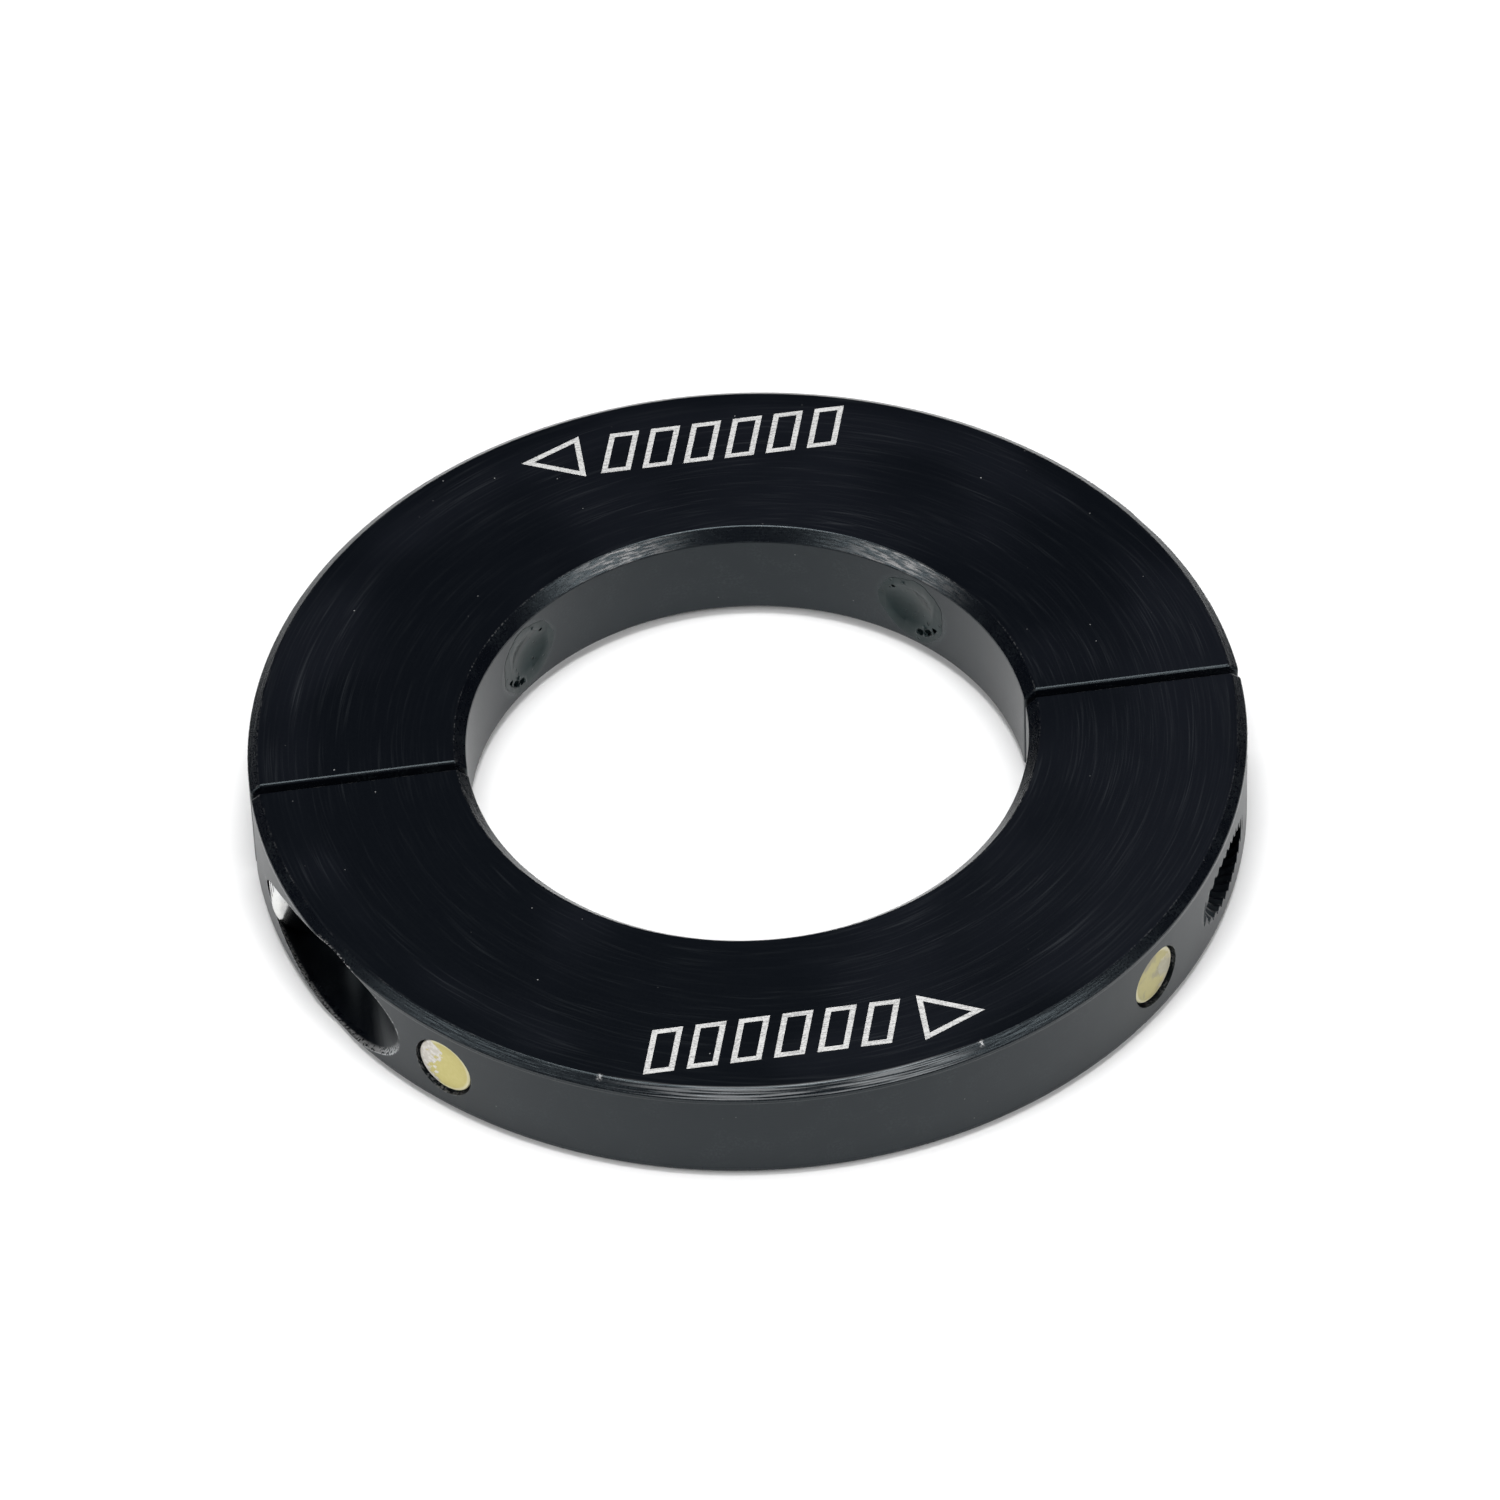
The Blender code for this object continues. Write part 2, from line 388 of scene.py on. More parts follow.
class Finish:
    """A material under way, with its piece's own coordinates."""

    def __init__(self, name):
        self.material = bpy.data.materials.new(name)
        self.material.use_nodes = True
        self.tree = self.material.node_tree
        self.shader = self.tree.nodes["Principled BSDF"]
        self.point = self.add("ShaderNodeTexCoord", output="Object")
        split = self.add("ShaderNodeSeparateXYZ", {}, {"Vector": self.point}, output=None)
        self.x, self.y, self.z = (Socket(self, split.outputs[axis]) for axis in "XYZ")
        self.radius = self.x.distance(self.y)

    def add(self, kind, settings=None, sockets=None, output=0):
        """Adds a node with its settings, then the values or links of its sockets. Returns one output."""
        node = self.tree.nodes.new(kind)
        for setting, value in (settings or {}).items():
            setattr(node, setting, value)
        for name, value in (sockets or {}).items():
            self.feed(node.inputs[name], value)
        return node if output is None else Socket(self, node.outputs[output])

    def feed(self, target, value):
        if isinstance(value, Socket):
            self.tree.links.new(value.output, target)
        elif isinstance(value, tuple) and target.type == "RGBA":
            target.default_value = (*value, 1)
        else:
            target.default_value = value

    def vector(self, x, y, z):
        return self.add("ShaderNodeCombineXYZ", {}, {"X": x, "Y": y, "Z": z})

    def noise(self, vector, scale, detail=2.0, roughness=0.5):
        names = {"Vector": vector, "Scale": scale, "Detail": detail, "Roughness": roughness}
        return self.add("ShaderNodeTexNoise", {}, names)

    def cells(self, vector, scale, output="Distance"):
        return self.add("ShaderNodeTexVoronoi", {}, {"Vector": vector, "Scale": scale}, output)

    def mix(self, factor, first, second):
        """A colour between the two."""
        names = {0: factor, 6: first, 7: second}
        return self.add("ShaderNodeMix", {"data_type": "RGBA"}, names, output=2)

    def bump(self, height, distance):
        return self.add("ShaderNodeBump", {}, {"Height": height, "Distance": distance, "Strength": 1.0})

    def done(self, **inputs):
        """Sets the shader's inputs, named with underscores for spaces."""
        for name, value in inputs.items():
            self.feed(self.shader.inputs[name.replace("_", " ")], value)
        return self.material


def anodised_finish(ring, screws, magnets, colours):
    """Black anodised aluminium: turned rings on the flat faces, tool lines round the walls, bare rims that
    are also painted highlights along the edges, a painted highlight on the outer chamfer's front and painted
    reflections on the bore chamfer.
    """
    finish = Finish("black_anodised_turned")
    x, y, z, radius = finish.x, finish.y, finish.z, finish.radius
    middle = ring.thickness / 2
    outer = ring.outer_diameter / 2
    bore = ring.bore_diameter / 2
    off_middle = abs(z - middle)
    flat = off_middle.ramp(middle - 0.05 * MM, middle - 0.01 * MM)
    angle = y.angle(x)
    patches = finish.noise(finish.point, 420.0, 2.0)
    speckle = finish.noise(finish.point, 5200.0, 2.0)

    # Turned rings, some of them off centre, as a lathe tool and then a polishing wheel leave them
    fine_rings = finish.noise(finish.vector(radius * 8000, angle * 4, 0), 1.0, 3.0)
    broad_rings = finish.noise(finish.vector(radius * 1300, angle * 2.2, 3), 1.0, 3.0)
    swirl_radius = (x - 2.4 * MM).distance(y + 1.7 * MM)
    swirl = finish.noise(finish.vector(swirl_radius * 4200, angle * 3, 7), 1.0, 4.0)
    sweep = finish.noise(finish.point, 48.0, 2.0)
    rim_haze = radius.near(outer - 3.6 * MM, 3.2 * MM)
    hazy = (sweep + rim_haze * 0.12).ramp(0.46, 0.7)
    hairs = (fine_rings.ramp(0.5, 0.8) + swirl.ramp(0.52, 0.8)) * (broad_rings.ramp(0.35, 0.7) + 0.25)

    # Lines that a tool leaves along a wall or a chamfer, broken up round it
    wall_lines = finish.noise(finish.vector(angle * 30, z * 9000, radius * 1500), 1.0, 3.0)
    near_outside = radius.ramp(outer - 1.0 * MM, outer - 0.8 * MM)
    near_bore = radius.ramp(bore + 1.05 * MM, bore + 0.95 * MM)
    beside_flat = off_middle.ramp(middle - 0.95 * MM, middle - 0.85 * MM) * (1 - flat)
    on_chamfer = beside_flat * (near_outside + near_bore)
    chatter = finish.noise(finish.vector(angle * 18, (z + radius) * 4200, (z - radius) * 4200), 1.0, 4.0)

    # A stretch of the outer chamfer that was cut again, with a nick at each end. Its grooves are also tinted
    # light grey as a painted highlight, on the front where the chamfer mirrors the light towards the viewer
    from_wall = z - radius - (ring.thickness - ring.chamfer_height - outer)
    recut_highlight_start = math.radians(-116)
    recut_highlight_end = math.radians(-70)
    recut_highlight_span = angle.ramp(recut_highlight_start, math.radians(-103)) * angle.ramp(recut_highlight_end, math.radians(-78))
    recut_grooves_and_highlight = recut_highlight_span * from_wall.ramp(0.04 * MM, 0.1 * MM) * near_outside
    grooves = finish.noise(finish.vector(angle * 6, from_wall * 5200, 1), 1.0, 1.0)
    nick_inset = math.radians(0.8)
    nick_width = 0.008
    first_nick = angle.near(recut_highlight_start + nick_inset, nick_width)
    second_nick = angle.near(recut_highlight_end - nick_inset, nick_width)
    nicks = (first_nick + second_nick) * z.near(ring.thickness - 0.1 * MM, 0.2 * MM) * near_outside

    # Where edges and rims have lost their anodising, partly real wear and partly painted highlights along
    # the edges and rims that catch the light
    side = x * y.sign()
    counterbore_radius = (side - screws.offset).distance(z - middle)
    near_wall = radius.ramp(outer - 0.5 * MM, outer - 0.1 * MM)
    counterbore_rim = counterbore_radius.near(screws.counterbore / 2, 0.13 * MM) * near_wall
    tapped_radius = (side + screws.offset).distance(z - middle)
    tapped_rim = tapped_radius.near(screws.thread_diameter / 2, 0.12 * MM) * near_wall
    magnet_radius = ((abs(x) - abs(y)) * math.sqrt(0.5)).distance(z - middle)
    magnet_rim = magnet_radius.near(magnets.hole_diameter / 2, 0.07 * MM)
    top_edge = radius.near(outer - ring.chamfer_width, 0.09 * MM) * flat
    bore_edge_highlight = radius.near(bore + ring.bore_chamfer, 0.07 * MM)
    split_edge_highlight = (abs(y) - ring.split_gap / 2).near(0.16 * MM, 0.1 * MM) * (1 - flat) * off_middle.ramp(
        middle - 0.3 * MM, middle - 0.1 * MM
    )
    rims = counterbore_rim + tapped_rim * 0.4 + magnet_rim * 0.3 + top_edge * 0.08 + bore_edge_highlight * 0.15
    chipped = speckle.ramp(0.46, 0.62) * patches.ramp(0.36, 0.6)
    burr = counterbore_rim * z.ramp(middle, middle - 1.2 * MM) * speckle.ramp(0.4, 0.52) * 0.85
    wear_and_edge_highlights = (rims + split_edge_highlight * 0.3) * chipped + burr + nicks * speckle.ramp(0.42, 0.55) * 0.8
    # Painted reflections: silvery streaks on the bore's chamfer at the two angles where the side softboxes
    # are mirrored
    left_painted_reflection = angle.near(math.radians(108), math.radians(18))
    right_painted_reflection = angle.near(math.radians(48), math.radians(20))
    glints = on_chamfer * near_bore * (left_painted_reflection + right_painted_reflection) * chatter.ramp(0.42, 0.6)

    # Dust and fine scratches
    specks = finish.cells(finish.point, 900.0).ramp(0.07, 0.03)
    chosen = finish.noise(finish.point, 870.0, 0.0).ramp(0.63, 0.7)
    dust = specks * chosen * (flat * 0.5 + 0.3)

    # Potting that spread over the bore wall round each hole
    in_bore = radius.ramp(bore + 0.2 * MM, bore + 0.05 * MM)
    smear_edge = magnets.smear_diameter / 2 + 0.4 * MM
    smear = (magnet_radius + patches * 0.8 * MM).ramp(smear_edge + 0.5 * MM, smear_edge) * in_bore

    tint = finish.mix(hazy * flat * 0.6, colours.anodised[:], (0.006, 0.0068, 0.0102))
    tint = finish.mix(hairs * flat * (hazy + 0.35) * 0.26, tint, (0.03, 0.032, 0.036))
    mottle = patches.ramp(0.4, 0.7) * speckle.ramp(0.4, 0.7) * (1 - flat)
    tint = finish.mix(mottle * 0.4, tint, (0.016, 0.02, 0.022))
    tint = finish.mix(smear * 0.6, tint, colours.potting[:])
    # Painted highlight: light grey grooves on the front stretch of the outer chamfer
    tint = finish.mix(recut_grooves_and_highlight * grooves.ramp(0.38, 0.62) * 0.8, tint, (0.17, 0.175, 0.18))
    # Painted reflection streaks, silver grey
    tint = finish.mix(glints, tint, (0.09, 0.088, 0.088))
    # Wear and painted edge highlights in one bright colour
    tint = finish.mix(wear_and_edge_highlights, tint, colours.worn_edge_and_highlight[:])
    tint = finish.mix(dust, tint, (0.3, 0.3, 0.3))
    turned_face = (fine_rings * 0.5 + broad_rings * 0.6 + swirl * 0.5) * flat
    tooled_wall = (wall_lines * 0.5 + chatter * on_chamfer * 4 + grooves * recut_grooves_and_highlight * 3) * (1 - flat)
    roughness = 0.33 - flat * 0.07 + hairs * flat * 0.1 + speckle * 0.06
    roughness = roughness - smear * 0.1 - on_chamfer * 0.08 + dust * 0.3
    return finish.done(
        Base_Color=tint,
        Metallic=wear_and_edge_highlights * 0.7 + glints * 0.6,
        Roughness=roughness,
        IOR=1.5,
        Specular_Tint=(0.46, 0.55, 0.59),
        Normal=finish.bump(turned_face + tooled_wall, 0.006 * MM),
    )


def plated_finish(ring, screws, colours):
    """Bright zinc plating: slight clouding, tiny pits, and painted shade that darkens the key socket."""
    finish = Finish("bright_zinc_plated")
    clouds = finish.noise(finish.point, 600.0, 3.0)
    pits = finish.cells(finish.point, 5200.0).ramp(0.1, 0.22)
    brushed = finish.noise(finish.vector(finish.x * 4000, finish.y * 500, finish.z * 4000), 1.0, 2.0)
    tint = finish.mix(clouds.ramp(0.35, 0.75), colours.plated[:], (0.52, 0.53, 0.55))
    tint = finish.mix((1 - pits) * 0.5, tint, (0.3, 0.3, 0.3))
    from_axis = (abs(finish.x) - screws.offset).distance(finish.z - ring.thickness / 2)
    head_end = screws.seat_depth + screws.seat_clearance + screws.head_height
    on_head_side = (finish.x * finish.y).sign().ramp(0, 1)
    down_socket = abs(finish.y).ramp(head_end - 0.05 * MM, head_end - 0.5 * MM) * on_head_side
    painted_socket_shade = from_axis.ramp(screws.key_size * 0.62, screws.key_size * 0.56) * down_socket
    # Painted shade: the key socket and its mouth coloured near black
    tint = finish.mix(painted_socket_shade * 0.97, tint, (0.01, 0.01, 0.011))
    return finish.done(
        Base_Color=tint,
        Metallic=1.0,
        Roughness=0.08 + clouds * 0.12 + painted_socket_shade * 0.3,
        Normal=finish.bump(brushed + pits * 0.6, 0.004 * MM),
    )


def magnet_finish(ring, magnets, colours):
    """Yellow paint on the face, rubbed through to nickel in patches, with a pale painted highlight round the
    rim.
    """
    finish = Finish("yellow_magnet_paint")
    middle = ring.thickness / 2
    x, y, z = finish.x, finish.y, finish.z
    # Towards the split, where the screws are reached and the paint is rubbed most
    across = (abs(x) - abs(y)) * math.sqrt(0.5)
    along = (abs(x) + abs(y)) * math.sqrt(0.5)
    from_axis = across.distance(z - middle)
    face_radius = ring.outer_diameter / 2 - magnets.recess
    face = along.ramp(face_radius - 0.3 * MM, face_radius - 0.1 * MM)
    patches = finish.noise(finish.point, 520.0, 3.0, 0.6)
    grain = finish.noise(finish.point, 3200.0, 2.0)
    rim = from_axis.ramp(magnets.diameter / 2 - 0.38 * MM, magnets.diameter / 2 - 0.16 * MM)
    # The magnets to the right are greyer all over and less rubbed
    greyed = x.ramp(-1 * MM, 1 * MM)
    rubbed = (patches * 0.6 + grain * 0.2 + across * 130).ramp(0.5, 0.54) * (1 - greyed * 0.75)
    shown = face * (1 - rubbed)
    paint = finish.mix(grain.ramp(0.3, 0.75) * 0.5, colours.paint[:], (0.56, 0.5, 0.2))
    paint = finish.mix(greyed * (0.45 + patches.ramp(0.44, 0.58) * 0.5), paint, (0.27, 0.25, 0.16))
    # Painted highlight: a pale band along the face's rounded rim
    paint = finish.mix(rim * 0.7, paint, (0.68, 0.65, 0.45))
    metal = finish.mix(grain.ramp(0.4, 0.7), colours.bare_magnet[:], (0.64, 0.62, 0.58))
    return finish.done(
        Base_Color=finish.mix(shown, metal, paint),
        Metallic=(1 - shown) * 0.3,
        Roughness=0.4 + grain * 0.14 + shown * 0.06,
        Normal=finish.bump(shown + grain * 0.5 + patches * 0.6, 0.02 * MM),
    )


def potting_finish(colours):
    """Cast epoxy: dark, glossy, with a few voids."""
    finish = Finish("black_potting_epoxy")
    clouds = finish.noise(finish.point, 480.0, 3.0)
    voids = finish.cells(finish.point, 1500.0).ramp(0.22, 0.1) * clouds.ramp(0.5, 0.62)
    tint = finish.mix(clouds.ramp(0.35, 0.7), colours.potting[:], (0.009, 0.016, 0.017))
    tint = finish.mix(voids, tint, (0.002, 0.003, 0.003))
    return finish.done(
        Base_Color=tint,
        Roughness=0.2 + clouds * 0.25,
        IOR=1.42,
        Specular_Tint=(0.4, 0.52, 0.52),
        Normal=finish.bump(clouds * 0.6 - voids, 0.1 * MM),
    )


def etched_finish(colours):
    """Laser etching: pale, matt, with the beam's fine passes."""
    finish = Finish("pale_laser_etching")
    grain = finish.noise(finish.point, 6500.0, 2.0)
    passes = finish.noise(finish.vector(finish.x * 400, finish.y * 9000, 0), 1.0, 1.0)
    tint = finish.mix((grain * 0.7 + passes * 0.5).ramp(0.48, 0.8), colours.etching[:], (0.3, 0.3, 0.3))
    return finish.done(
        Base_Color=tint, Metallic=0.1, Roughness=0.62, Normal=finish.bump(grain + passes, 0.01 * MM)
    )


def floor_finish(colours):
    """Matt white paper with a faint tooth."""
    finish = Finish("pale_floor_paper")
    tooth = finish.noise(finish.point, 900.0, 2.0)
    tint = finish.mix(tooth * 0.5, colours.floor[:], (0.93, 0.93, 0.93))
    return finish.done(Base_Color=tint, Roughness=0.9, Normal=finish.bump(tooth, 0.02 * MM))


# Pieces


def paint(obj, material):
    obj.data.materials.clear()
    obj.data.materials.append(material)


def sizes_of(context):
    scene = context.scene
    return scene.collar_ring, scene.collar_screws, scene.collar_magnets, scene.collar_colours


def front_half_blank(ring):
    """The ring, turned, sawn through and rounded along the saw cut, before its holes are drilled."""
    outer = ring.outer_diameter / 2
    bore = ring.bore_diameter / 2
    top = ring.thickness
    middle = (bore, top / 2)
    outline = [
        middle,
        (bore, ring.bore_chamfer),
        (bore + ring.bore_chamfer, 0),
        (outer - ring.chamfer_width, 0),
        (outer, ring.chamfer_height),
        (outer, top - ring.chamfer_height),
        (outer - ring.chamfer_width, top),
        (bore + ring.bore_chamfer, top),
        (bore, top - ring.bore_chamfer),
        middle,
    ]
    half = turned("collar_half_front_body", rounded(outline, ring.edge_round), RING_STEPS)
    edit(half)
    saw_cut = -ring.split_gap / 2
    cut_flat(half, (0, saw_cut, 0), (0, 1, 0))
    select_where(half, "edges", lambda edge: all(abs(v.co.y - saw_cut) < 1e-6 for v in edge.verts))
    bpy.ops.mesh.bevel(offset=ring.split_round, segments=3, affect="EDGES", clamp_overlap=True)
    bpy.ops.mesh.select_all(action="SELECT")
    bpy.ops.mesh.remove_doubles(threshold=WELD)
    bpy.ops.mesh.normals_make_consistent(inside=False)
    leave_edit()
    return half


def drill_screw_hole(half, ring, screws):
    """The counterbore for a head and the clear hole for its shank."""
    counterbore = screws.counterbore / 2
    shank_hole = screws.shank_hole / 2
    outside = -ring.outer_diameter / 2
    through = screws.seat_depth + 2 * MM
    drill = turned(
        "screw_hole_cutter",
        [
            (0, outside),
            (counterbore, outside),
            (counterbore, 0),
            (shank_hole, 0),
            (shank_hole, through),
            (0, through),
        ],
        SCREW_HOLE_STEPS,
    )
    place(drill, screw_place(screws, ring, Matrix.Identity(4)))
    combine(half, drill)


def tap_far_hole(half, ring, screws):
    """The threaded hole at the other end, which the other half's screw goes into."""
    crest = screws.thread_diameter / 2 + screws.thread_clearance
    start = screws.seat_depth - ring.split_gap
    end = screws.seat_depth + ring.outer_diameter / 2
    tap = threaded_rod("tapped_hole_cutter", screws, crest, start, end)
    place(tap, screw_place(screws, ring, HALF_TURN))
    combine(half, tap)


def drill_magnet_holes(half, ring, magnets):
    radius = magnets.hole_diameter / 2
    end = ring.outer_diameter / 2 + 2 * MM
    for name in ("front_left", "front_right"):
        drill = turned("magnet_hole_cutter", [(0, 0), (radius, 0), (radius, end), (0, end)], ROUND_STEPS)
        place(drill, magnet_place(ring, MAGNET_PLACES[name]))
        combine(half, drill)


class COLLAR_OT_add_halves(bpy.types.Operator):
    """Model both collar halves, with their screw holes, tapped holes and magnet holes"""

    bl_idname = "collar.add_halves"
    bl_label = "Add Collar Halves"

    def execute(self, context):
        ring, screws, magnets, colours = sizes_of(context)
        half = front_half_blank(ring)
        drill_screw_hole(half, ring, screws)
        tap_far_hole(half, ring, screws)
        drill_magnet_holes(half, ring, magnets)
        smooth(half, 15)
        paint(half, anodised_finish(ring, screws, magnets, colours))
        other = copied(half, "collar_half_back_body", HALF_TURN)
        for piece, body, node in (
            (half, "front_half", "collar_half_front"),
            (other, "back_half", "collar_half_back"),
        ):
            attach(piece, body)
            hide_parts(node)
        return {"FINISHED"}


def knurl(head, screws, teeth):
    """In edit mode, sinks fine straight grooves into the side of the head."""
    side = screws.head_diameter / 2 * 0.98

    def on_groove(face):
        middle = face.calc_center_median()
        if abs(face.normal.z) > 0.1 or middle.xy.length < side or face.calc_area() < 0.1 * MM * MM:
            return False
        turn = math.atan2(middle.y, middle.x) / math.tau * teeth
        return 0.25 < turn % 1 < 0.75

    select_where(head, "faces", on_groove)
    bpy.ops.mesh.inset(thickness=0.03 * MM, depth=-0.1 * MM, use_individual=True)


def head_ends(screws):
    """Heights of the head's underside and of its outer face, in the screw's own frame."""
    under_head = -screws.seat_clearance
    return under_head, under_head - screws.head_height


def screw_head(screws):
    """The head, knurled, with a rounded rim."""
    under_head, face = head_ends(screws)
    radius = screws.head_diameter / 2
    foot_chamfer = 0.16 * MM
    head = turned(
        "clamp_screw_left_body",
        [
            (0, face),
            (radius - 0.62 * MM, face),
            (radius - 0.3 * MM, face + 0.05 * MM),
            (radius - 0.07 * MM, face + 0.2 * MM),
            (radius, face + 0.42 * MM),
            (radius, under_head - foot_chamfer),
            (radius - foot_chamfer, under_head),
            (0, under_head),
        ],
        HEAD_STEPS,
    )
    edit(head)
    knurl(head, screws, KNURL_TEETH)
    leave_edit()
    return head


def threaded_shank(screws):
    """The thread, tapered at its tip. It starts inside the head, so that the two join."""
    under_head, face = head_ends(screws)
    tip = under_head + screws.screw_length
    root = screws.thread_diameter / 2 - screws.thread_depth
    taper = 2 * MM
    thread = threaded_rod("thread", screws, screws.thread_diameter / 2, face / 2, tip)
    tip_shape = turned(
        "tip_shape",
        [
            (0, face),
            (screws.thread_diameter, face),
            (screws.thread_diameter, tip - taper),
            (root + taper, tip - taper),
            (root - 0.1 * MM, tip),
            (0, tip),
        ],
        TIP_STEPS,
    )
    combine(thread, tip_shape, "INTERSECT")
    return thread


def cut_key_socket(screw, screws):
    """The hexagonal socket with its drilled floor, and the countersink round its mouth."""
    face = head_ends(screws)[1]
    flats = screws.key_size / 2
    corners = flats / math.cos(math.pi / 6)
    above = face - 1 * MM
    drill_point = 0.7 * MM
    socket = turned(
        "socket_cutter",
        [
            (0, above),
            (corners, above),
            (corners, face + screws.key_depth),
            (0, face + screws.key_depth + drill_point),
        ],
        6,
    )
    combine(screw, socket)
    mouth_end = face + 0.8 * MM
    mouth = turned(
        "socket_mouth_cutter",
        [(0, above), (flats + 1.2 * MM, above), (flats - 0.6 * MM, mouth_end), (0, mouth_end)],
        ROUND_STEPS,
    )
    combine(screw, mouth)


class COLLAR_OT_add_screws(bpy.types.Operator):
    """Model both socket head cap screws"""

    bl_idname = "collar.add_screws"
    bl_label = "Add Cap Screws"

    def execute(self, context):
        ring, screws, _, colours = sizes_of(context)
        screw = screw_head(screws)
        combine(screw, threaded_shank(screws), "UNION")
        cut_key_socket(screw, screws)
        smooth(screw, 25)
        place(screw, screw_place(screws, ring, Matrix.Identity(4)))
        paint(screw, plated_finish(ring, screws, colours))
        other = copied(screw, "clamp_screw_right_body", HALF_TURN)
        for piece, body, node in (
            (screw, "left_screw", "clamp_screw_left"),
            (other, "right_screw", "clamp_screw_right"),
        ):
            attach(piece, body)
            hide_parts(node)
        return {"FINISHED"}


class COLLAR_OT_add_magnets(bpy.types.Operator):
    """Model the four round sensor magnets in the outer wall"""

    bl_idname = "collar.add_magnets"
    bl_label = "Add Magnets"

    def execute(self, context):
        ring, _, magnets, colours = sizes_of(context)
        radius = magnets.diameter / 2
        face = ring.outer_diameter / 2 - magnets.recess
        back = face - magnets.magnet_length
        outline = [
            (0, back),
            (radius - 0.15 * MM, back),
            (radius, back + 0.15 * MM),
            (radius, face - 0.16 * MM),
            (radius - 0.05 * MM, face - 0.05 * MM),
            (radius - 0.16 * MM, face),
            (radius * 0.5, face + 0.01 * MM),
            (0, face + 0.012 * MM),
        ]
        original = turned("magnet_pattern", outline, ROUND_STEPS)
        smooth(original, 40)
        paint(original, magnet_finish(ring, magnets, colours))
        for name, degrees in MAGNET_PLACES.items():
            shift = Matrix.Translation(MAGNET_SHIFTS.get(name, (0, 0, 0)))
            magnet = copied(original, f"sensor_magnet_{name}_body", shift @ magnet_place(ring, degrees))
            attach(magnet, "front_half" if name.startswith("front") else "back_half")
            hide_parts("sensor_magnet_" + name)
        bpy.data.objects.remove(original, do_unlink=True)
        return {"FINISHED"}


# Bubbles and crumbs at a plug's edge: along the bore wall, up it, and their own radius, in millimetres
BUBBLES = ((-1.55, -1.75, 0.4), (-0.75, -2.1, 0.34), (-2.15, -1.15, 0.3), (1.9, 1.5, 0.2))
CRUMBS = (
    (-1.1, -1.45, 0.24),
    (-1.15, -2.2, 0.26),
    (-1.95, -1.6, 0.22),
    (-0.35, -2.35, 0.2),
    (0.9, 2.35, 0.18),
)


def lump(name, size, scale):
    """A small rough ball."""
    ball = start_object(bpy.ops.mesh.primitive_ico_sphere_add, name, subdivisions=3, radius=size)
    lumps = bpy.data.textures.new(name, "CLOUDS")
    lumps.noise_scale = scale
    apply_modifier(ball, "Lumps", "DISPLACE", texture=lumps, strength=size)
    return ball


def add_lumps(plug, name, places, scale, height, operation):
    """Cuts or joins a row of small rough balls, all at one height along the radius."""
    for along, up, size in places:
        ball = lump(name, size * MM, scale)
        place(ball, Matrix.Translation((along * MM, up * MM, height)))
        combine(plug, ball, operation)


def ripple_film(plug, spread):
    """Makes the edge of the film that spread over the bore wall run in and out."""
    edit(plug)
    mesh = bmesh.from_edit_mesh(plug.data)
    for vert in mesh.verts:
        if vert.co.xy.length > spread * 0.95:
            turn = math.atan2(vert.co.y, vert.co.x)
            wave = math.sin(3 * turn + 1) + 0.6 * math.sin(7 * turn + 2) + 0.3 * math.sin(17 * turn)
            vert.co.xy *= 1 + 0.035 * wave
    bmesh.update_edit_mesh(plug.data)
    leave_edit()


def potting_plug(ring, magnets):
    """A plug in its own frame: the radius along Z, the bore axis along Y."""
    bore = ring.bore_diameter / 2
    radius = magnets.hole_diameter / 2 - 0.02 * MM
    spread = magnets.smear_diameter / 2
    plug = turned(
        "potting_plug_pattern",
        [
            (0, bore - MM),
            (spread, bore - MM),
            (spread, bore + 0.1 * MM),
            (radius, bore + 0.3 * MM),
            (radius, bore + magnets.plug_length),
            (0, bore + magnets.plug_length),
        ],
        ROUND_STEPS,
    )
    ripple_film(plug, spread)
    film = bore - 0.02 * MM
    reach = 5 * MM
    shaft = turned("shaft_cutter", [(0, -reach), (film, -reach), (film, reach), (0, reach)], RING_STEPS)
    place(shaft, Matrix.Rotation(math.pi / 2, 4, "X"))
    combine(plug, shaft)
    # The epoxy shrank into a shallow dish.
    dish_radius = 5.2 * MM
    dish_depth = 0.36 * MM
    dish = start_object(
        bpy.ops.mesh.primitive_uv_sphere_add, "dish_cutter", segments=64, ring_count=48, radius=dish_radius
    )
    place(dish, Matrix.Translation((0.2 * MM, 0.25 * MM, bore - dish_radius + dish_depth)))
    combine(plug, dish)
    add_lumps(plug, "bubble", BUBBLES, 0.35 * MM, bore + 0.03 * MM, "DIFFERENCE")
    add_lumps(plug, "crumb", CRUMBS, 0.2 * MM, bore + 0.08 * MM, "UNION")
    smooth(plug, 35)
    return plug


class COLLAR_OT_add_plugs(bpy.types.Operator):
    """Model the epoxy that closes each magnet hole at the bore and spread a little over the bore wall"""

    bl_idname = "collar.add_plugs"
    bl_label = "Add Potting Plugs"

    def execute(self, context):
        ring, _, magnets, colours = sizes_of(context)
        original = potting_plug(ring, magnets)
        paint(original, potting_finish(colours))
        mirrored = Matrix.Scale(-1, 4, (1, 0, 0))
        for name, degrees in MAGNET_PLACES.items():
            seat = magnet_place(ring, degrees)
            if name in ("front_right", "back_left"):
                seat = seat @ mirrored
            plug = copied(original, f"potting_plug_{name}_body", seat)
            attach(plug, "front_half" if name.startswith("front") else "back_half")
            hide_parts("potting_plug_" + name)
        bpy.data.objects.remove(original, do_unlink=True)
        return {"FINISHED"}


MARK_ROW = -32.1 * MM
MARK_HEIGHT = 4.3 * MM
MARK_STROKE = 0.42 * MM


